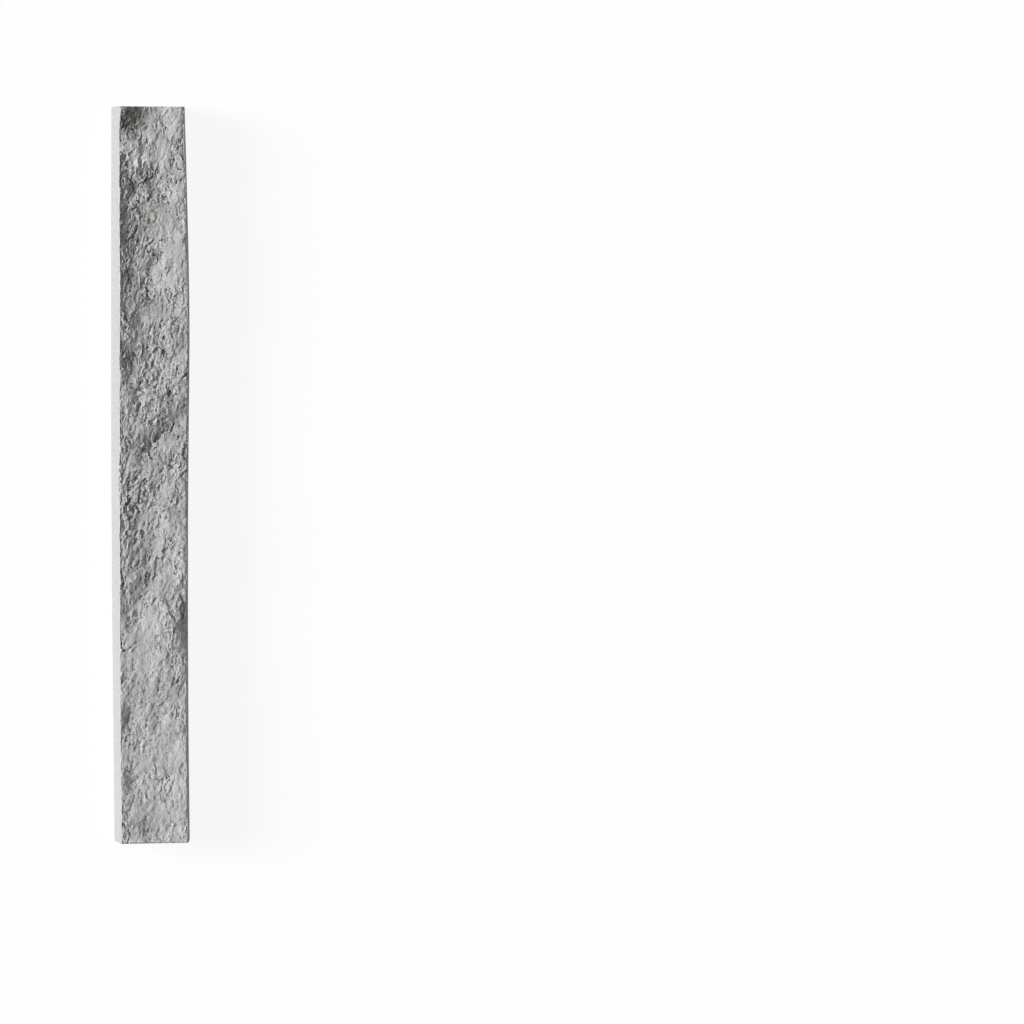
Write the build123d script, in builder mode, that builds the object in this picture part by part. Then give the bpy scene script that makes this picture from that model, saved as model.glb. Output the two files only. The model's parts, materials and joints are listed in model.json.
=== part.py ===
from build123d import *

import math
import os
from dataclasses import dataclass

# Faux stone ledger trim: one moulded strip with a split-stone face, drafted sides and a flat back.
# The strip lies on its back. X runs across the width, Y along the length and Z out of the back, and the
# origin is the middle of the back face.

# Driving dimensions, in millimetres and degrees
STRIP_LENGTH = 609.6  # end to end at the back, 24 inches
STRIP_WIDTH = 63.5  # side to side at the back, 2.5 inches, before the sides bow
FACE_HEIGHT = 35.0  # from the back to the mean level of the stone face
SIDE_DRAFT = 6.0  # the long sides lean in from the back to the face
END_DRAFT = 2.0  # the ends lean in less, so that two strips butt together
ARRIS_DEPTH = 2.0  # the worn edge starts this far below the mean level of the face
ARRIS_LEAN = 18.0  # lean of the worn edge, from upright
RELIEF_ROOM = 8.0  # room above the mean level for the highest crest
SAMPLE_STEP = 5.0  # spacing of the points that the stone face passes through
FACE_OVERLAP = 6.0  # how far the stone surface runs past the back's outline before it is trimmed


@dataclass
class Spall:
    """A crest or a hollow of the stone face, a smooth mound with an elliptical foot."""

    across: float  # place across the face, from -1 at the left edge to 1 at the right
    along: float  # place along the face, from -1 at the foot to 1 at the head
    wide: float  # half width, in millimetres
    long: float  # half length, in millimetres
    lean: float  # turn of the long axis from the strip's length, clockwise in degrees
    rise: float  # height of a crest, or with a minus sign the depth of a hollow

    def height_at(self, x, y):
        """Height that this spall adds at a place on the face."""
        lean = math.radians(self.lean)
        dx = x - self.across * FACE_HALF_WIDTH
        dy = y - self.along * FACE_HALF_LENGTH
        sideways = dx * math.cos(lean) - dy * math.sin(lean)
        lengthways = dx * math.sin(lean) + dy * math.cos(lean)
        return self.rise * math.exp(-((sideways / self.wide) ** 2) - (lengthways / self.long) ** 2)


FACE_HALF_WIDTH = STRIP_WIDTH / 2 - FACE_HEIGHT * math.tan(math.radians(SIDE_DRAFT))
FACE_HALF_LENGTH = STRIP_LENGTH / 2 - FACE_HEIGHT * math.tan(math.radians(END_DRAFT))

SPALLS = [
    # Broad forms
    Spall(across=-1.10, along=0.36, wide=15, long=190, lean=0, rise=3.0),  # crest along the left edge
    Spall(across=-0.05, along=0.45, wide=15, long=170, lean=0, rise=-1.0),  # long valley beside it
    Spall(across=1.00, along=0.62, wide=24, long=110, lean=0, rise=2.6),  # long shoulder on the right
    Spall(across=0.18, along=0.72, wide=20, long=38, lean=0, rise=-1.6),  # dip below the head
    Spall(across=0.75, along=-0.10, wide=20, long=55, lean=0, rise=1.8),
    Spall(across=1.20, along=-0.80, wide=30, long=100, lean=0, rise=4.2),  # shoulder at the foot
    # Head
    Spall(across=-1.10, along=1.00, wide=14, long=20, lean=25, rise=3.4),  # raised corner
    Spall(across=-0.16, along=0.98, wide=11, long=22, lean=38, rise=-3.2),  # valley under the raised corner
    Spall(across=-0.58, along=0.895, wide=8, long=9, lean=0, rise=1.4),  # knob below the valley
    Spall(across=0.90, along=0.88, wide=11, long=20, lean=0, rise=2.2),
    Spall(across=-0.20, along=0.86, wide=9, long=12, lean=0, rise=1.8),
    Spall(across=-0.38, along=0.83, wide=6, long=18, lean=-35, rise=1.2),
    Spall(across=0.16, along=0.78, wide=7, long=20, lean=-35, rise=-2.4),  # groove that crosses the face
    Spall(across=-0.76, along=0.85, wide=6, long=7, lean=0, rise=-1.2),
    Spall(across=-0.52, along=0.78, wide=7, long=10, lean=0, rise=-2.6),
    Spall(across=-0.72, along=0.705, wide=7, long=9, lean=0, rise=-2.2),
    Spall(across=-0.24, along=0.69, wide=6, long=8, lean=15, rise=-1.4),
    Spall(across=-0.58, along=0.645, wide=8, long=9, lean=0, rise=-2.4),  # deepest pit of the head
    Spall(across=1.00, along=0.69, wide=10, long=18, lean=0, rise=1.4),
    Spall(across=1.00, along=0.49, wide=11, long=22, lean=0, rise=1.2),
    Spall(across=0.00, along=0.58, wide=6, long=14, lean=10, rise=-1.8),
    Spall(across=-0.66, along=0.545, wide=6, long=9, lean=0, rise=-1.4),
    # Middle
    Spall(across=-0.74, along=0.45, wide=6, long=9, lean=15, rise=-1.2),
    Spall(across=-0.36, along=0.42, wide=6, long=10, lean=0, rise=-1.8),
    Spall(across=0.25, along=0.38, wide=7, long=10, lean=0, rise=-1.8),
    Spall(across=0.86, along=0.36, wide=6, long=12, lean=0, rise=-2.0),
    Spall(across=-0.60, along=0.305, wide=8, long=12, lean=10, rise=-2.6),  # dark pit beside the left edge
    Spall(across=-0.06, along=0.305, wide=6, long=11, lean=10, rise=-1.8),
    Spall(across=0.54, along=0.335, wide=7, long=11, lean=0, rise=-1.5),
    Spall(across=0.28, along=0.285, wide=6, long=9, lean=0, rise=-1.4),
    Spall(across=0.48, along=0.22, wide=6, long=9, lean=10, rise=-1.6),
    Spall(across=-0.22, along=0.21, wide=6, long=10, lean=10, rise=1.6),
    Spall(across=0.20, along=0.20, wide=8, long=16, lean=35, rise=1.6),  # slanting crest at mid length
    Spall(across=0.66, along=0.15, wide=8, long=18, lean=35, rise=-3.0),  # hollow on its right
    Spall(across=-0.22, along=0.14, wide=8, long=14, lean=40, rise=1.4),
    Spall(across=0.02, along=0.09, wide=6, long=11, lean=35, rise=-1.8),
    Spall(across=0.50, along=0.05, wide=7, long=9, lean=0, rise=-1.6),
    Spall(across=0.96, along=0.055, wide=6, long=9, lean=0, rise=-1.4),
    Spall(across=-1.15, along=0.00, wide=10, long=30, lean=0, rise=-1.8),
    Spall(across=-0.62, along=-0.02, wide=6, long=12, lean=20, rise=-1.0),
    Spall(across=-0.44, along=-0.11, wide=6, long=9, lean=10, rise=-1.2),
    Spall(across=0.02, along=-0.11, wide=6, long=9, lean=10, rise=-1.6),
    Spall(across=0.40, along=-0.12, wide=8, long=12, lean=0, rise=1.2),
    Spall(across=-0.46, along=-0.17, wide=6, long=10, lean=10, rise=-1.0),
    Spall(across=0.00, along=-0.185, wide=6, long=10, lean=15, rise=-1.8),
    Spall(across=-0.12, along=-0.27, wide=6, long=10, lean=20, rise=-1.8),
    Spall(across=0.86, along=-0.235, wide=8, long=22, lean=0, rise=1.8),
    Spall(across=-0.42, along=-0.335, wide=7, long=14, lean=35, rise=-2.6),
    # Foot
    Spall(across=0.48, along=-0.42, wide=18, long=26, lean=10, rise=3.2),  # crest beside the chip
    Spall(across=1.02, along=-0.40, wide=9, long=18, lean=0, rise=-4.8),  # chip out of the right edge
    Spall(across=0.10, along=-0.48, wide=14, long=24, lean=0, rise=1.0),
    Spall(across=0.28, along=-0.56, wide=7, long=20, lean=0, rise=1.4),
    Spall(across=-0.72, along=-0.66, wide=7, long=10, lean=0, rise=-3.2),  # nick in the left edge
    Spall(across=0.12, along=-0.655, wide=6, long=9, lean=0, rise=-1.4),
    Spall(across=-0.64, along=-0.835, wide=7, long=8, lean=0, rise=-2.8),
    Spall(across=-0.20, along=-0.60, wide=8, long=12, lean=0, rise=0.8),
    Spall(across=0.45, along=-0.74, wide=8, long=12, lean=15, rise=-0.9),
    Spall(across=-0.15, along=-0.76, wide=8, long=14, lean=0, rise=0.8),
    Spall(across=0.95, along=-0.89, wide=12, long=26, lean=0, rise=1.2),
    Spall(across=0.25, along=-0.90, wide=9, long=12, lean=20, rise=0.4),
    Spall(across=-0.05, along=-0.96, wide=12, long=12, lean=0, rise=-1.4),
]

# Bows of the two long sides: (place along the strip from -1 to 1, how far the side draws in)
LEFT_BOWS = [(-1, 0.2), (-0.5, -0.6), (0, -1.0), (0.5, -0.6), (1, 0.2)]
RIGHT_BOWS = [(-1, 0.3), (-0.6, 1.0), (-0.2, 0.8), (0.1, 0.0), (0.4, -1.0), (0.7, 0.1), (1, 2.1)]


def stone_height(x, y):
    """Height of the stone face above the back."""
    return FACE_HEIGHT + sum(spall.height_at(x, y) for spall in SPALLS)


def sample_places(half_extent):
    """Evenly spaced places from one side of the middle to the other."""
    count = math.ceil(2 * half_extent / SAMPLE_STEP)
    return [half_extent * (2 * i / count - 1) for i in range(count + 1)]


def stone_surface():
    """The split-stone surface, a little larger than the back."""
    return Face.make_surface_from_array_of_points(
        [
            [(x, y, stone_height(x, y)) for y in sample_places(STRIP_LENGTH / 2 + FACE_OVERLAP)]
            for x in sample_places(STRIP_WIDTH / 2 + FACE_OVERLAP)
        ]
    )


def side_points(bows, side, half_width, half_length):
    """Points of a bowed long side, where side is -1 for the left one and 1 for the right."""
    return [(side * (half_width - inset), along * half_length) for along, inset in bows]


def bowed_outline(height, half_width, half_length):
    """Outline of the strip at a height, with the bows of its long sides."""
    with BuildSketch(Plane.XY.offset(height)) as outline:
        with BuildLine():
            left = Spline(*side_points(LEFT_BOWS, -1, half_width, half_length))
            right = Spline(*side_points(RIGHT_BOWS, 1, half_width, half_length))
            Line(left @ 0, right @ 0)
            Line(left @ 1, right @ 1)
        make_face()
    return outline.sketch


def drawn_in(height, lean):
    """How far a side that leans in has moved at a height."""
    return height * math.tan(math.radians(lean))


shoulder_height = FACE_HEIGHT - ARRIS_DEPTH
block_height = FACE_HEIGHT + RELIEF_ROOM
shoulder_half_width = STRIP_WIDTH / 2 - drawn_in(shoulder_height, SIDE_DRAFT)
top_half_width = shoulder_half_width - drawn_in(block_height - shoulder_height, ARRIS_LEAN)

back_outline = bowed_outline(0, STRIP_WIDTH / 2, STRIP_LENGTH / 2)
shoulder_outline = bowed_outline(
    shoulder_height, shoulder_half_width, STRIP_LENGTH / 2 - drawn_in(shoulder_height, END_DRAFT)
)
top_outline = bowed_outline(
    block_height, top_half_width, STRIP_LENGTH / 2 - drawn_in(block_height, END_DRAFT)
)

with BuildPart() as trim_strip:
    # Drafted block from the flat back, with the worn edges above its shoulder
    loft(sections=[back_outline, shoulder_outline, top_outline], ruled=True)
    # Stone face, trimmed to the block
    extrude(
        to_extrude=stone_surface(),
        amount=block_height + RELIEF_ROOM,
        dir=(0, 0, -1),
        mode=Mode.INTERSECT,
    )

trim_strip.part.label = "trim_strip"

os.makedirs("parts", exist_ok=True)
export_step(trim_strip.part, "parts/trim_strip.step")
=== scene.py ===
"""Looks of the faux stone ledger trim: a moulded strip with a split-stone face, on a white floor."""

import json
import math
from dataclasses import dataclass

import bpy
import mathutils.noise
import numpy
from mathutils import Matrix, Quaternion, Vector

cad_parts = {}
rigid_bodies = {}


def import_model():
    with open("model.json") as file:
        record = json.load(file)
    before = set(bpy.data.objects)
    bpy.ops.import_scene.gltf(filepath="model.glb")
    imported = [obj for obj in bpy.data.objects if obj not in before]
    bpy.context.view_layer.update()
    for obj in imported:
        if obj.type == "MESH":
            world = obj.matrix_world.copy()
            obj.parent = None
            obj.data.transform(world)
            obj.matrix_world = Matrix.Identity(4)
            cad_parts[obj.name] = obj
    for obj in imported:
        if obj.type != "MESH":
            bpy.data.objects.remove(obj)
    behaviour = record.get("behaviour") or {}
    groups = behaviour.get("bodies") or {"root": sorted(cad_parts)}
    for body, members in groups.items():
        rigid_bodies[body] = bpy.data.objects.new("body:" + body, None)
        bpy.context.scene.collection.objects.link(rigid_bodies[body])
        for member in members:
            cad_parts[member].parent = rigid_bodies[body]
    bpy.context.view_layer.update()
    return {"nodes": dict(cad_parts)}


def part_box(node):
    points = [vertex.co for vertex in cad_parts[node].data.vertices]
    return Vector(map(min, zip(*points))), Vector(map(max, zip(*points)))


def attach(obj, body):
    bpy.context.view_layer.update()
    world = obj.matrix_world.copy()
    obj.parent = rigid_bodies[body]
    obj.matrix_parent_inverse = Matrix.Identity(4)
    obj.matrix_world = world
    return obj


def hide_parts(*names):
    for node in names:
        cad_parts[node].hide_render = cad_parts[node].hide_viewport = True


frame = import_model()

MM = 0.001

# The strip's box from the frame, and the face on it, in metres and radians
STRIP_NODE = "trim_strip"
strip_low, strip_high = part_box(STRIP_NODE)
FACE_LEVEL = 35 * MM  # mean level of the stone face above the back
SIDE_DRAFT = math.radians(6)
END_DRAFT = math.radians(2)
FACE_LENGTH = strip_high.y - strip_low.y - 2 * FACE_LEVEL * math.tan(END_DRAFT)
FACE_WIDTH = strip_high.x - strip_low.x - 2 * FACE_LEVEL * math.tan(SIDE_DRAFT)

# Mesh of the stone
MERGE_DISTANCE = 0.001 * MM
VOXEL = 0.72 * MM  # spacing of the vertices that carry the relief
KEPT_TRIANGLES = 186_000  # left after thinning out, before the sides are drawn down
ARRIS_BAND = 8 * MM  # height of the worn band, from the mean level of the face downwards
BAND_FOOT = FACE_LEVEL - ARRIS_BAND
BAND_SLOPE = 0.3  # a normal that points up less than this belongs to the band
BAND_THINNING = 100  # how much sooner the band is thinned out than the face
SIDE_SLOPE = 0.35  # a normal that points up less than this has nothing of the face
SLOPE_RANGE = 0.3  # how much more it points up where it is all face
WEIGHT_STEPS = 20  # steps of the weights in a vertex group
SHARP_ANGLE = math.radians(35)

# Roughness of the stone face, where 1 gives the relief its full height
ROUGH_USUAL = 0.72
ROUGH_CHANGE = 0.7  # slow change from place to place
CHANGE_SIZE = 16 * MM
ROUGH_LEAST = 0.25
ROUGH_MOST = 1.4
EVEN_SHARE = 0.4  # share of the small relief that is the same all over the face
RELIEF_MIDDLE = 0.6  # value of a texture that leaves the face where it is

# Flakes, which lean to the right of the strip's length and are drawn out along it
FLAKE_LEAN = math.radians(15)
FLAKE_DRAW = 1.8

# Worn edges of the face
WALL_SLOPE = 0.8  # a normal that points sideways more than this belongs to the wall of a side
WALL_TOP = 4 * MM  # the wall is plain from here downwards, measured from the mean level of the face
ROUND_WIDTH = 2.8 * MM  # right edge
ROUND_DEPTH = 2.0 * MM
FOOT_ROUND = 1.8 * MM  # width and depth of the rounding at the foot
BREAK_WIDTH = 4 * MM  # left edge, broken by bites and by smaller nicks
BITE_SIZE = 12 * MM
BITE_DEPTH = 1.8 * MM
NICK_SIZE = 4 * MM
NICK_DEPTH = 1.0 * MM

# Marks for the finish
HOLLOW_DEPTH = 0.4 * MM  # below the smoothed surface, where a hollow counts as 1
SMOOTH_PASSES = 30
SMOOTH_FACTOR = 0.5
FACE_FADE = 2 * MM  # height above the foot of the band over which the look of the face fades out

# Colours of the finish
BODY_DARK = (0.40, 0.40, 0.403, 1)
BODY_PALE = (0.47, 0.47, 0.473, 1)
# Darkest colour of the hollows and creases: partly a dark wash, partly painted shade
WASH_AND_SHADE_COLOUR = (0.105, 0.105, 0.085, 1)
# Paler colour of the crests: partly wear, partly painted highlight
CREST_WEAR_AND_HIGHLIGHT_COLOUR = (0.56, 0.56, 0.55, 1)
SPECKLE_COLOUR = (0.20, 0.20, 0.19, 1)
SIDE_DARK = (0.29, 0.29, 0.288, 1)
SIDE_PALE = (0.40, 0.40, 0.397, 1)

# How much of them shows at most, and the marked hollow, below nought on a crest, that gives it
WASH_AND_SHADE_SHARE = 0.88
WASH_AND_SHADE_FULL = 1.1
CREASE_WASH_AND_SHADE_SHARE = 0.5
CREST_WEAR_AND_HIGHLIGHT_SHARE = 0.7
CREST_START = -0.3
CREST_FULL = -1.3
SPECKLE_SHARE = 0.06

# Bump of the finish, with heights in millimetres
GRAIN_HEIGHT = 0.15
CREASE_DEPTH = 0.3
FACET_TILT = 0.38
FACET_SQUEEZE = 0.5  # facets are longer than wide

# Sheen of the finish
MATTE_ROUGHNESS = 0.9
SPECULAR_LEVEL = 0.25


@dataclass
class Patch:
    """A soft-edged place on the stone face where something is more or less than elsewhere."""

    across: float  # from -1 at the left edge of the face to 1 at the right
    along: float  # from -1 at the foot to 1 at the head
    wide: float  # half width, in millimetres
    long: float  # half length, in millimetres
    lean: float  # turn of the long axis from the strip's length, clockwise in degrees
    amount: float  # in the middle of the patch


# Where the face is rougher than elsewhere, or with a minus sign split more cleanly
ROUGH_PATCHES = [
    Patch(across=0.00, along=0.80, wide=60, long=130, lean=0, amount=0.12),
    Patch(across=-0.60, along=0.98, wide=12, long=16, lean=30, amount=0.35),
    Patch(across=0.30, along=0.96, wide=18, long=20, lean=0, amount=-0.35),
    Patch(across=0.85, along=0.86, wide=6, long=30, lean=0, amount=0.20),
    Patch(across=-0.25, along=0.865, wide=9, long=10, lean=0, amount=-0.30),
    Patch(across=-0.90, along=0.72, wide=7, long=90, lean=0, amount=0.50),
    Patch(across=-0.35, along=0.74, wide=13, long=36, lean=0, amount=0.25),
    Patch(across=0.65, along=0.65, wide=9, long=36, lean=0, amount=-0.25),
    Patch(across=-0.50, along=0.32, wide=16, long=34, lean=0, amount=0.15),
    Patch(across=0.50, along=0.24, wide=16, long=34, lean=30, amount=0.20),
    Patch(across=-0.85, along=-0.10, wide=7, long=90, lean=0, amount=0.15),
    Patch(across=0.30, along=-0.11, wide=12, long=14, lean=0, amount=-0.20),
    Patch(across=0.20, along=-0.38, wide=9, long=14, lean=0, amount=0.15),
    Patch(across=0.95, along=-0.40, wide=9, long=18, lean=0, amount=-0.15),
    Patch(across=-0.40, along=-0.48, wide=14, long=26, lean=0, amount=-0.25),
    Patch(across=0.00, along=-0.72, wide=60, long=110, lean=0, amount=-0.12),
    Patch(across=0.40, along=-0.84, wide=26, long=50, lean=0, amount=-0.15),
]

# Patches of painted shade, where the wash is darker, or with a minus sign patches of painted light, where
# the wash is lighter and the crests paler
PAINTED_SHADE_AND_LIGHT_PATCHES = [
    Patch(across=-0.72, along=0.97, wide=11, long=15, lean=28, amount=0.52),
    Patch(across=-0.08, along=0.965, wide=8, long=14, lean=28, amount=0.27),
    Patch(across=-0.12, along=0.865, wide=16, long=11, lean=0, amount=-0.50),
    Patch(across=0.05, along=0.70, wide=20, long=12, lean=-30, amount=0.28),
    Patch(across=-0.60, along=0.54, wide=6, long=12, lean=0, amount=0.30),
    Patch(across=-0.92, along=0.54, wide=5, long=14, lean=0, amount=-0.40),
    Patch(across=0.00, along=0.45, wide=12, long=14, lean=0, amount=0.15),
    Patch(across=0.62, along=0.457, wide=6, long=12, lean=0, amount=-0.15),
    Patch(across=-0.62, along=0.375, wide=7, long=12, lean=0, amount=-0.15),
    Patch(across=0.70, along=0.37, wide=12, long=12, lean=0, amount=0.14),
    Patch(across=-0.85, along=0.30, wide=7, long=12, lean=0, amount=0.12),
    Patch(across=-0.45, along=0.29, wide=8, long=10, lean=0, amount=-0.12),
    Patch(across=0.62, along=0.14, wide=8, long=18, lean=35, amount=0.30),
    Patch(across=-0.15, along=0.05, wide=6, long=12, lean=20, amount=0.16),
    Patch(across=-0.88, along=0.00, wide=6, long=30, lean=0, amount=-0.10),
    Patch(across=0.80, along=-0.20, wide=5, long=10, lean=0, amount=0.15),
    Patch(across=0.12, along=-0.28, wide=15, long=12, lean=0, amount=0.20),
    Patch(across=0.62, along=-0.24, wide=6, long=24, lean=0, amount=-0.20),
    Patch(across=-0.88, along=-0.36, wide=6, long=14, lean=0, amount=-0.22),
    Patch(across=0.88, along=-0.37, wide=6, long=10, lean=-15, amount=0.42),
    Patch(across=0.40, along=-0.38, wide=10, long=14, lean=0, amount=-0.25),
    Patch(across=0.15, along=-0.47, wide=12, long=26, lean=0, amount=-0.15),
    Patch(across=0.66, along=-0.47, wide=7, long=20, lean=0, amount=-0.30),
    Patch(across=-0.85, along=-0.80, wide=6, long=30, lean=0, amount=0.12),
    Patch(across=0.60, along=-0.86, wide=18, long=44, lean=0, amount=-0.18),
]


def only(piece):
    """Selects one object and makes it the active one."""
    bpy.ops.object.select_all(action="DESELECT")
    piece.select_set(True)
    bpy.context.view_layer.objects.active = piece


def edit(piece):
    """Goes to edit mode with everything selected."""
    only(piece)
    bpy.ops.object.mode_set(mode="EDIT")
    bpy.ops.mesh.select_all(action="SELECT")


def modify(piece, kind, **settings):
    """Adds a modifier, sets it up and applies it."""
    only(piece)
    modifier = piece.modifiers.new(kind.lower(), kind)
    for name, value in settings.items():
        setattr(modifier, name, value)
    bpy.ops.object.modifier_apply(modifier=modifier.name)


def vertex_values(piece, name):
    """One property of all the vertices, as rows of three."""
    values = numpy.empty(3 * len(piece.data.vertices), dtype=numpy.float32)
    piece.data.vertices.foreach_get(name, values)
    return values.reshape(-1, 3)


def weigh(piece, name, weights):
    """Makes a vertex group from weights between nought and one, in even steps."""
    group = piece.vertex_groups.new(name=name)
    steps = numpy.round(WEIGHT_STEPS * weights).astype(int)
    for step in range(1, WEIGHT_STEPS + 1):
        group.add(numpy.flatnonzero(steps == step).tolist(), step / WEIGHT_STEPS, "REPLACE")


def mark(piece, name, values):
    """Stores a value for each vertex, for the material."""
    attribute = piece.data.attributes.new(name, "FLOAT", "POINT")
    attribute.data.foreach_set("value", values.astype(numpy.float32))


def merged_copy(node_name, piece_name):
    """A copy of a CAD node, with its loose triangles merged."""
    only(frame["nodes"][node_name])
    bpy.ops.object.duplicate()
    piece = bpy.context.active_object
    piece.name = piece_name
    piece.data.name = piece_name
    bpy.ops.object.parent_clear(type="CLEAR_KEEP_TRANSFORM")
    edit(piece)
    bpy.ops.mesh.remove_doubles(threshold=MERGE_DISTANCE)
    bpy.ops.object.mode_set(mode="OBJECT")
    return piece


def cut_off_sides(piece):
    """Leaves the stone face and the worn band below it."""
    edit(piece)
    bpy.ops.mesh.bisect(plane_co=(0, 0, BAND_FOOT), plane_no=(0, 0, 1), clear_inner=True)
    bpy.ops.object.mode_set(mode="OBJECT")


def patch_amounts(places, patches):
    """What the patches add up to at each place."""
    total = numpy.zeros(len(places))
    for patch in patches:
        lean = math.radians(patch.lean)
        dx = places[:, 0] - patch.across * FACE_WIDTH / 2
        dy = places[:, 1] - patch.along * FACE_LENGTH / 2
        sideways = (dx * math.cos(lean) - dy * math.sin(lean)) / (patch.wide * MM)
        lengthways = (dx * math.sin(lean) + dy * math.cos(lean)) / (patch.long * MM)
        total += patch.amount * numpy.exp(-((sideways ** 2 + lengthways ** 2) ** 2))
    return total


def roughness_at(places):
    """How rough the stone face is at each place."""
    slow = numpy.array([mathutils.noise.noise(Vector(place) / CHANGE_SIZE) for place in places])
    rough = ROUGH_USUAL + ROUGH_CHANGE * slow + patch_amounts(places, ROUGH_PATCHES)
    return numpy.clip(rough, ROUGH_LEAST, ROUGH_MOST)


def face_share(piece):
    """One on the stone face, nought on the sides and the back."""
    upward = vertex_values(piece, "normal")[:, 2]
    return numpy.clip((upward - SIDE_SLOPE) / SLOPE_RANGE, 0, 1)


def chip_noise(name, size, bend, basis):
    """Noise in cells that bend, which makes the flat chips and creases of split stone."""
    texture = bpy.data.textures.new(name, "DISTORTED_NOISE")
    texture.noise_scale = size
    texture.distortion = bend
    texture.noise_basis = basis
    return texture


def lump_noise(name, size, depth=1):
    """Soft noise, which makes rounded lumps, with finer ones on them where it is deeper."""
    texture = bpy.data.textures.new(name, "CLOUDS")
    texture.noise_scale = size
    texture.noise_depth = depth
    return texture


def flake_axes():
    """An axis cross that leans with the flakes and draws them out."""
    bpy.ops.object.empty_add(rotation=(0, 0, -FLAKE_LEAN))
    axes = bpy.context.active_object
    axes.scale = (1, FLAKE_DRAW, 1)
    bpy.context.view_layer.update()
    return axes


def roughen(piece):
    """Relief finer than the CAD face has: lumps, flat flakes with broken edges, and chips."""
    rough = roughness_at(vertex_values(piece, "co"))
    even = EVEN_SHARE + (1 - EVEN_SHARE) * rough
    weigh(piece, "stone_face", face_share(piece) * rough / ROUGH_MOST)
    weigh(piece, "whole_face", face_share(piece) * even / ROUGH_MOST)
    axes = flake_axes()
    # Vertex group, texture and height of each layer
    layers = [
        ("stone_face", lump_noise("lumps", size=9 * MM), 1.0 * MM),
        ("stone_face", chip_noise("flakes", size=9 * MM, bend=1.4, basis="CELL_NOISE"), 0.55 * MM),
        ("stone_face", chip_noise("chips", size=6 * MM, bend=1.0, basis="VORONOI_F1"), 0.35 * MM),
        ("whole_face", chip_noise("small_flakes", size=4.5 * MM, bend=1.4, basis="CELL_NOISE"), 0.42 * MM),
        ("whole_face", chip_noise("small_chips", size=3 * MM, bend=1.2, basis="VORONOI_F2_F1"), 0.3 * MM),
    ]
    for group, texture, height in layers:
        modify(piece, "DISPLACE", texture=texture, texture_coords="OBJECT", texture_coords_object=axes,
               direction="Z", strength=height * ROUGH_MOST, mid_level=RELIEF_MIDDLE, vertex_group=group)
    bpy.data.objects.remove(axes)


def edge_distance(piece, side):
    """How far each vertex lies inside a long edge, where side is -1 for the left one and 1 for the right."""
    places = vertex_values(piece, "co")
    below = FACE_LEVEL - places[:, 2]
    sideways = vertex_values(piece, "normal")[:, 0] * side
    wall = places[(sideways > WALL_SLOPE) & (below > WALL_TOP) & (below < ARRIS_BAND)]
    wall = wall[numpy.argsort(wall[:, 1])]
    return side * (numpy.interp(places[:, 1], wall[:, 1], wall[:, 0]) - places[:, 0])


def upper_part(piece):
    """One at the level of the face, nought from the foot of the worn band downwards."""
    return numpy.clip((vertex_values(piece, "co")[:, 2] - FACE_LEVEL + ARRIS_BAND) / ARRIS_BAND, 0, 1)


def nearness(distance, reach):
    """One at an edge, falling to nought where the wear ends."""
    return numpy.clip(1 - distance / reach, 0, 1)


def wear_edges(piece):
    """Rounds off the right edge and the foot, and breaks the left edge."""
    weigh(piece, "right_edge", nearness(edge_distance(piece, 1), ROUND_WIDTH) ** 2 * upper_part(piece))
    modify(piece, "DISPLACE", direction="Z", strength=-ROUND_DEPTH, mid_level=0, vertex_group="right_edge")

    from_foot = vertex_values(piece, "co")[:, 1] + FACE_LENGTH / 2
    weigh(piece, "foot_edge", nearness(from_foot, FOOT_ROUND) ** 2 * upper_part(piece))
    modify(piece, "DISPLACE", direction="Z", strength=-FOOT_ROUND, mid_level=0, vertex_group="foot_edge")

    weigh(piece, "left_edge", nearness(edge_distance(piece, -1), BREAK_WIDTH) * upper_part(piece))
    breaks = [
        (lump_noise("bites", size=BITE_SIZE, depth=2), BITE_DEPTH),
        (lump_noise("nicks", size=NICK_SIZE), NICK_DEPTH),
    ]
    for texture, depth in breaks:
        modify(piece, "DISPLACE", texture=texture, texture_coords="LOCAL", direction="X",
               strength=depth, mid_level=0.5, vertex_group="left_edge")


def triangle_count(piece):
    """How many triangles the faces of a mesh make."""
    return sum(len(face.vertices) - 2 for face in piece.data.polygons)


def thin_out(piece):
    """Leaves most of the triangles to the stone face."""
    weigh(piece, "band", (vertex_values(piece, "normal")[:, 2] < BAND_SLOPE) * 1.0)
    modify(piece, "DECIMATE", ratio=min(1, KEPT_TRIANGLES / triangle_count(piece)), vertex_group="band",
           vertex_group_factor=BAND_THINNING)


def draw_sides_down(piece):
    """Draws the open edge down to the floor, leaning out as the moulded sides do, and closes the back."""
    places = numpy.abs(vertex_values(piece, "co"))
    rim = places[places[:, 2] < BAND_FOOT + VOXEL / 4].max(axis=0)
    wider = strip_high.x / rim[0]
    longer = strip_high.y / rim[1]
    edit(piece)
    bpy.ops.mesh.select_mode(type="EDGE")
    bpy.ops.mesh.select_all(action="DESELECT")
    bpy.ops.mesh.select_non_manifold()
    bpy.ops.mesh.extrude_region_move(TRANSFORM_OT_translate={"value": (0, 0, -BAND_FOOT)})
    bpy.ops.transform.resize(value=(wider, longer, 0), center_override=(0, 0, 0))
    bpy.ops.mesh.edge_face_add()
    bpy.ops.mesh.select_mode(type="FACE")
    bpy.ops.mesh.select_all(action="SELECT")
    bpy.ops.mesh.normals_make_consistent(inside=False)
    bpy.ops.object.mode_set(mode="OBJECT")


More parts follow.
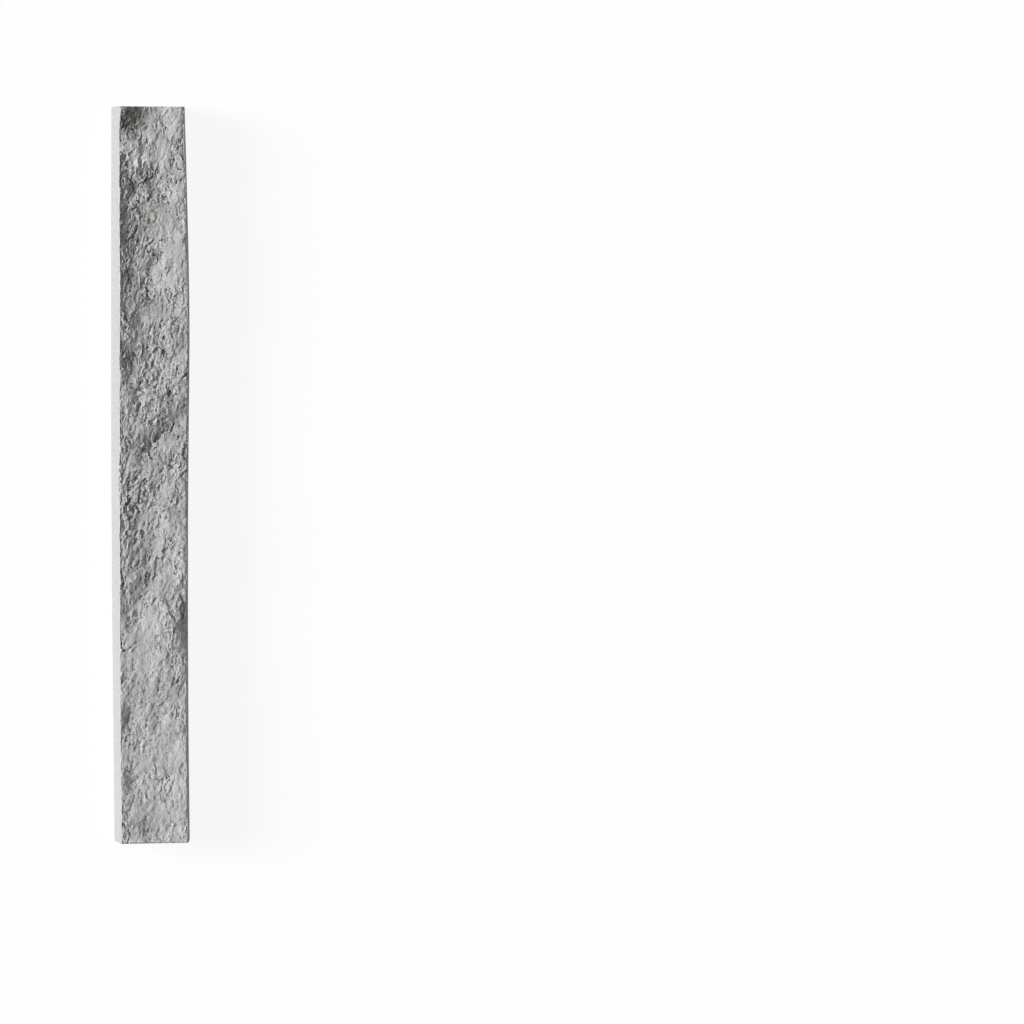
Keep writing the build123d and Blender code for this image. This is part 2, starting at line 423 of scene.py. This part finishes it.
def mark_face(piece):
    """Marks the face, its roughness, its patches of painted shade and light, and how far each vertex lies in
    a hollow.
    """
    only(piece)
    bpy.ops.object.duplicate()
    smooth = bpy.context.active_object
    modify(smooth, "SMOOTH", factor=SMOOTH_FACTOR, iterations=SMOOTH_PASSES)
    places = vertex_values(piece, "co")
    depth = ((vertex_values(smooth, "co") - places) * vertex_values(smooth, "normal")).sum(axis=1)
    face = face_share(smooth) * numpy.clip((places[:, 2] - BAND_FOOT) / FACE_FADE, 0, 1)
    bpy.data.objects.remove(smooth)
    mark(piece, "face", face)
    mark(piece, "hollow", face * depth / HOLLOW_DEPTH)
    mark(piece, "roughness", face * roughness_at(places))
    # Painted shade, and with a minus sign painted light, in the listed patches
    mark(piece, "painted_shade_and_light", face * patch_amounts(places, PAINTED_SHADE_AND_LIGHT_PATCHES))


def stone_piece():
    """The strip: the CAD form with finer relief, worn edges and plain moulded sides."""
    piece = merged_copy(STRIP_NODE, "stone_strip")
    modify(piece, "REMESH", mode="VOXEL", voxel_size=VOXEL, adaptivity=0)
    cut_off_sides(piece)
    roughen(piece)
    wear_edges(piece)
    thin_out(piece)
    draw_sides_down(piece)
    mark_face(piece)
    piece.vertex_groups.clear()
    only(piece)
    bpy.ops.object.shade_smooth_by_angle(angle=SHARP_ANGLE)
    modify(piece, "WEIGHTED_NORMAL", keep_sharp=True)
    return piece


class MaterialNodes:
    """Builds a material's nodes one by one and links them as they are made."""

    def __init__(self, name):
        self.material = bpy.data.materials.new(name)
        self.material.use_nodes = True
        self.tree = self.material.node_tree
        self.shader = self.tree.nodes["Principled BSDF"]
        self.place = self.tree.nodes.new("ShaderNodeTexCoord").outputs["Object"]

    def feed(self, socket, value):
        """Links another node's output to a socket, or sets the socket's own value."""
        if isinstance(value, bpy.types.NodeSocket):
            self.tree.links.new(value, socket)
        else:
            socket.default_value = value

    def attribute(self, name):
        """A value that the mesh stores for each vertex."""
        node = self.tree.nodes.new("ShaderNodeAttribute")
        node.attribute_name = name
        return node.outputs["Fac"]

    def noise(self, scale, detail=2.0, roughness=0.5, distortion=0.0):
        """Noise around one half, with a scale per metre."""
        node = self.tree.nodes.new("ShaderNodeTexNoise")
        self.feed(node.inputs["Vector"], self.place)
        self.feed(node.inputs["Scale"], scale)
        self.feed(node.inputs["Detail"], detail)
        self.feed(node.inputs["Roughness"], roughness)
        self.feed(node.inputs["Distortion"], distortion)
        return node.outputs["Fac"]

    def stretched(self, lean, squeeze):
        """The place in axes that lean, squeezed so that a pattern is drawn out along them."""
        node = self.tree.nodes.new("ShaderNodeMapping")
        self.feed(node.inputs["Vector"], self.place)
        self.feed(node.inputs["Rotation"], (0, 0, lean))
        self.feed(node.inputs["Scale"], (1, squeeze, 1))
        return node.outputs["Vector"]

    def vector(self, operation, first, second):
        """Vector arithmetic."""
        node = self.tree.nodes.new("ShaderNodeVectorMath")
        node.operation = operation
        self.feed(node.inputs[0], first)
        self.feed(node.inputs[1], second)
        return node.outputs["Value" if operation == "DOT_PRODUCT" else "Vector"]

    def facets(self, place, scale):
        """Height of flat facets, each with a tilt of its own, in millimetres."""
        node = self.tree.nodes.new("ShaderNodeTexVoronoi")
        self.feed(node.inputs["Vector"], place)
        self.feed(node.inputs["Scale"], scale)
        way = self.vector("SUBTRACT", place, node.outputs["Position"])
        tilt = self.vector("SUBTRACT", node.outputs["Color"], (0.5, 0.5, 0.5))
        return self.math("DIVIDE", self.vector("DOT_PRODUCT", way, tilt), MM)

    def math(self, operation, first, second=0.0):
        """Arithmetic."""
        node = self.tree.nodes.new("ShaderNodeMath")
        node.operation = operation
        self.feed(node.inputs[0], first)
        self.feed(node.inputs[1], second)
        return node.outputs["Value"]

    def span(self, value, low, high, to_low, to_high):
        """Carries one range of values over to another, with soft ends."""
        node = self.tree.nodes.new("ShaderNodeMapRange")
        node.interpolation_type = "SMOOTHSTEP"
        self.feed(node.inputs["Value"], value)
        self.feed(node.inputs["From Min"], low)
        self.feed(node.inputs["From Max"], high)
        self.feed(node.inputs["To Min"], to_low)
        self.feed(node.inputs["To Max"], to_high)
        return node.outputs["Result"]

    def ramp(self, value, stops):
        """A colour that changes with a value."""
        node = self.tree.nodes.new("ShaderNodeValToRGB")
        for element, (position, colour) in zip(node.color_ramp.elements, stops):
            element.position = position
            element.color = colour
        self.feed(node.inputs["Fac"], value)
        return node.outputs["Color"]

    def blend(self, factor, first, second):
        """The first colour at a factor of nought, the second at one."""
        node = self.tree.nodes.new("ShaderNodeMix")
        node.data_type = "RGBA"
        self.feed(node.inputs["Factor"], factor)
        self.feed(node.inputs["A"], first)
        self.feed(node.inputs["B"], second)
        return node.outputs["Result"]

    def bump(self, height):
        """Normals for heights in millimetres."""
        node = self.tree.nodes.new("ShaderNodeBump")
        self.feed(node.inputs["Height"], height)
        self.feed(node.inputs["Distance"], MM)
        return node.outputs["Normal"]

    def finish(self, colour, normal):
        """The material, matte in its colour."""
        self.feed(self.shader.inputs["Base Color"], colour)
        self.feed(self.shader.inputs["Roughness"], MATTE_ROUGHNESS)
        self.feed(self.shader.inputs["Normal"], normal)
        self.feed(self.shader.inputs["Specular IOR Level"], SPECULAR_LEVEL)
        return self.material


def stone_material():
    """Moulded stone: grey, with a dark wash and painted shade in its hollows and creases, paler worn crests
    with painted highlights, and patches of painted shade and painted light.
    """
    stone = MaterialNodes("moulded_stone")
    hollow = stone.attribute("hollow")
    rough = stone.attribute("roughness")
    # Patches of painted shade, and with a minus sign painted light
    painted_shade_and_light = stone.attribute("painted_shade_and_light")

    def creases(scale, width, break_scale):
        """Thin broken lines where a noise passes its mean, stronger where the face is rough."""
        noise = stone.noise(scale, detail=1, distortion=0.6)
        from_mean = stone.math("ABSOLUTE", stone.math("SUBTRACT", noise, 0.5))
        line = stone.span(from_mean, low=0, high=width, to_low=1, to_high=0)
        break_noise = stone.noise(break_scale, detail=1)
        part = stone.span(break_noise, low=0.5, high=0.6, to_low=0, to_high=1)
        return stone.math("MULTIPLY", stone.math("MULTIPLY", line, part), rough)

    crease = stone.math(
        "MAXIMUM",
        creases(scale=90, width=0.02, break_scale=260),
        creases(scale=160, width=0.025, break_scale=420),
    )

    # Colour of the face, and of the plain moulded sides
    colour = stone.ramp(stone.noise(scale=30, detail=3), [(0.35, BODY_DARK), (0.65, BODY_PALE)])
    # Darker in the hollows: partly a dark wash, partly painted shade
    sunk = stone.span(hollow, low=0, high=WASH_AND_SHADE_FULL, to_low=0, to_high=WASH_AND_SHADE_SHARE)
    # The patches add painted shade to the wash; with a minus sign they take it away and make the crests
    # paler below, as painted light
    wash_and_shade = stone.math("ADD", sunk, painted_shade_and_light)
    # Creases darkened as well: partly wash, partly painted shade
    dark = stone.math("MAXIMUM", wash_and_shade, stone.math("MULTIPLY", crease, CREASE_WASH_AND_SHADE_SHARE))
    colour = stone.blend(dark, colour, WASH_AND_SHADE_COLOUR)
    # Paler on the crests: partly wear, partly painted highlight
    crest_wear_and_highlight = stone.span(hollow, low=CREST_START, high=CREST_FULL, to_low=0, to_high=CREST_WEAR_AND_HIGHLIGHT_SHARE)
    colour = stone.blend(stone.math("SUBTRACT", crest_wear_and_highlight, painted_shade_and_light), colour, CREST_WEAR_AND_HIGHLIGHT_COLOUR)
    fine_noise = stone.noise(scale=900, detail=2, roughness=0.7)
    speckle = stone.span(fine_noise, low=0.25, high=0.75, to_low=0, to_high=SPECKLE_SHARE)
    colour = stone.blend(speckle, colour, SPECKLE_COLOUR)
    side_noise = stone.noise(scale=400, detail=4, roughness=0.65)
    moulded = stone.ramp(side_noise, [(0.3, SIDE_DARK), (0.7, SIDE_PALE)])
    colour = stone.blend(stone.attribute("face"), moulded, colour)

    # Bump: fine grain, facets where the face is rough, and creases
    along = stone.stretched(FLAKE_LEAN, FACET_SQUEEZE)
    facets = stone.math("ADD", stone.facets(along, scale=260), stone.facets(along, scale=520))
    tilted = stone.math("MULTIPLY", stone.math("MULTIPLY", facets, rough), FACET_TILT)
    grain = stone.math("MULTIPLY", stone.noise(scale=600, detail=3, roughness=0.6), GRAIN_HEIGHT)
    raised = stone.math("ADD", grain, tilted)
    height = stone.math("SUBTRACT", raised, stone.math("MULTIPLY", crease, CREASE_DEPTH))
    return stone.finish(colour, stone.bump(height))


strip = stone_piece()
strip.data.materials.clear()
strip.data.materials.append(stone_material())
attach(strip, "root")
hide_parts(STRIP_NODE)

# Camera of the photograph: it looks down from the left of the strip, nearer its head, so that the left
# side shows, and the strip lies at the left of the picture
PHOTO_SIDE = 1024
FACE_LENGTH_PX = 737.5
FACE_CENTRE_PX = Vector((154.15, 476.25))
CAMERA_HEIGHT = 3.7
CAMERA_SIDE_ANGLE = math.radians(4.6)
CAMERA_TOWARDS_HEAD = 0.12
CAMERA_ROLL = math.radians(-0.34)
SENSOR_MM = 36.0


def build_camera():
    """The camera, turned so that the middle of the face lands on its place in the photograph."""
    px_per_metre = FACE_LENGTH_PX / FACE_LENGTH
    camera_left = CAMERA_HEIGHT * math.tan(CAMERA_SIDE_ANGLE)
    above_strip = Vector((-camera_left, CAMERA_TOWARDS_HEAD, CAMERA_HEIGHT))
    right = (FACE_CENTRE_PX.x - PHOTO_SIDE / 2) / px_per_metre
    up = (PHOTO_SIDE / 2 - FACE_CENTRE_PX.y) / px_per_metre
    depth = math.sqrt(above_strip.length_squared - right ** 2 - up ** 2)
    aim = Vector((right, up, -depth)).rotation_difference(-above_strip)
    bpy.ops.object.camera_add(location=above_strip + Vector((0, 0, FACE_LEVEL)))
    camera = bpy.context.active_object
    camera.rotation_mode = "QUATERNION"
    camera.rotation_quaternion = Quaternion(above_strip, CAMERA_ROLL) @ aim
    camera.data.sensor_width = SENSOR_MM
    camera.data.lens = px_per_metre * depth / PHOTO_SIDE * SENSOR_MM
    bpy.context.scene.camera = camera


# Light: a soft key from the left and low, a weak white fill from all around, and white behind the strip
KEY_AZIMUTH = math.radians(170)
KEY_ELEVATION = math.radians(24)
KEY_STRENGTH = 4.8
KEY_SPREAD = math.radians(25)
FILL_STRENGTH = 0.3
WHITE = (1, 1, 1, 1)


def background_rays(tree):
    """One for the rays that show the background: to the camera, in a reflection and through glass."""
    path = tree.nodes.new("ShaderNodeLightPath")
    rays = path.outputs["Is Camera Ray"]
    for kind in ("Is Glossy Ray", "Is Transmission Ray"):
        either = tree.nodes.new("ShaderNodeMath")
        either.operation = "MAXIMUM"
        tree.links.new(rays, either.inputs[0])
        tree.links.new(path.outputs[kind], either.inputs[1])
        rays = either.outputs["Value"]
    return rays


def mix_shaders(tree, factor, first, second, output_name):
    """Sends the first shader to the tree's output at a factor of nought, and the second at one."""
    mix = tree.nodes.new("ShaderNodeMixShader")
    tree.links.new(factor, mix.inputs["Fac"])
    tree.links.new(first.outputs[0], mix.inputs[1])
    tree.links.new(second.outputs[0], mix.inputs[2])
    tree.links.new(mix.outputs["Shader"], tree.nodes[output_name].inputs["Surface"])


def build_key():
    """The key light."""
    bpy.ops.object.light_add(type="SUN")
    key = bpy.context.active_object
    key.data.energy = KEY_STRENGTH
    key.data.angle = KEY_SPREAD
    towards = Vector((
        math.cos(KEY_AZIMUTH) * math.cos(KEY_ELEVATION),
        math.sin(KEY_AZIMUTH) * math.cos(KEY_ELEVATION),
        math.sin(KEY_ELEVATION),
    ))
    key.location = towards
    key.rotation_euler = towards.to_track_quat("Z", "Y").to_euler()


def build_world():
    """The fill light, and the white that shows past the floor."""
    world = bpy.data.worlds.new("studio")
    bpy.context.scene.world = world
    world.use_nodes = True
    tree = world.node_tree
    fill = tree.nodes["Background"]
    fill.inputs["Color"].default_value = WHITE
    fill.inputs["Strength"].default_value = FILL_STRENGTH
    seen = tree.nodes.new("ShaderNodeBackground")
    seen.inputs["Color"].default_value = WHITE
    mix_shaders(tree, background_rays(tree), fill, seen, "World Output")


FLOOR_SIDE = 20
FLOOR_COLOUR = (0.95, 0.95, 0.95, 1)
FLOOR_GLOW_SHARE = 0.9  # the rest of the floor's look is lit, and keeps the shadow


def build_floor():
    """A white floor with a faint shadow."""
    bpy.ops.mesh.primitive_plane_add(size=FLOOR_SIDE)
    floor = bpy.context.active_object
    floor.name = "floor"
    material = bpy.data.materials.new("white_floor")
    material.use_nodes = True
    tree = material.node_tree
    shader = tree.nodes["Principled BSDF"]
    shader.inputs["Base Color"].default_value = FLOOR_COLOUR
    shader.inputs["Roughness"].default_value = 1
    shader.inputs["Specular IOR Level"].default_value = 0
    glow = tree.nodes.new("ShaderNodeEmission")
    share = tree.nodes.new("ShaderNodeMath")
    share.operation = "MULTIPLY"
    share.inputs[1].default_value = FLOOR_GLOW_SHARE
    tree.links.new(background_rays(tree), share.inputs[0])
    mix_shaders(tree, share.outputs["Value"], shader, glow, "Material Output")
    floor.data.materials.append(material)


build_camera()
build_key()
build_world()
build_floor()
bpy.context.scene.view_settings.view_transform = "Standard"
